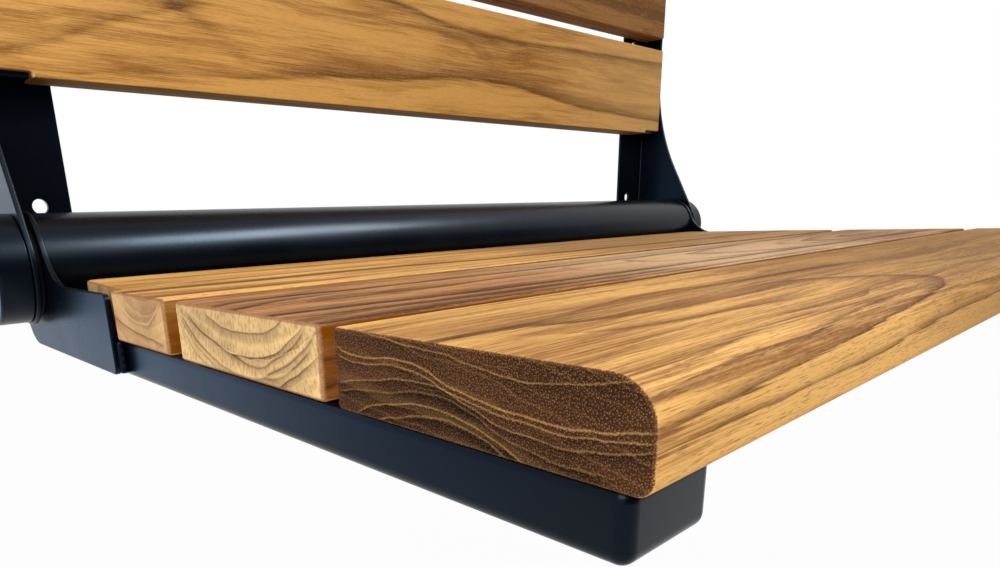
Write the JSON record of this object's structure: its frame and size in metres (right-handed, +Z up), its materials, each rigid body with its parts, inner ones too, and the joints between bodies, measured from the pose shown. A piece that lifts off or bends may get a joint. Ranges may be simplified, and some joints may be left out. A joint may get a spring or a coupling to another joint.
{
  "type": "fold-up shower seat",
  "caption": "Wall-hung teak shower seat that folds up about a thick black hinge tube, with a slatted teak backrest on folded steel wall brackets.",
  "frame": {"origin": "centre of the four wall holes, on the wall", "axes": "+Z up, +X to the right of someone facing the wall, +Y into the wall, so the seat stands out towards -Y"},
  "size_m": [0.8174, 0.4855, 0.3758],
  "materials": {
    "teak": "oiled, softened edges",
    "black_steel": "satin powder coat",
    "black_nylon": "matte",
    "black_rubber": "matte",
    "plain_steel": "stainless"
  },
  "bodies": {
    "wall_frame": {"left_wall_bracket": "black_steel", "right_wall_bracket": "black_steel", "lower_back_slat": "teak", "upper_back_slat": "teak", "back_slat_screws": "plain_steel", "left_pivot_cover": "black_steel", "right_pivot_cover": "black_steel", "left_pivot_bush": "black_nylon", "right_pivot_bush": "black_nylon", "left_thrust_washer": "black_nylon", "right_thrust_washer": "black_nylon", "left_stop_bumper": "black_rubber", "right_stop_bumper": "black_rubber"},
    "folding_seat": {"hinge_tube": "black_steel", "left_hinge_plate": "black_steel", "right_hinge_plate": "black_steel", "left_seat_arm": "black_steel", "right_seat_arm": "black_steel", "left_arm_spacer": "black_steel", "right_arm_spacer": "black_steel", "left_pivot_bolt": "plain_steel", "right_pivot_bolt": "plain_steel", "left_pivot_nut": "plain_steel", "right_pivot_nut": "plain_steel", "front_seat_slat": "teak", "middle_seat_slat": "teak", "rear_seat_slat": "teak", "seat_slat_screws": "plain_steel"}
  },
  "joints": [
    {"name": "seat_fold", "type": "hinge", "parent": "wall_frame", "child": "folding_seat", "pos_m": [0, -0.053, -0.129], "axis": [-1, 0, 0], "range_deg": [0, 90]}
  ]
}
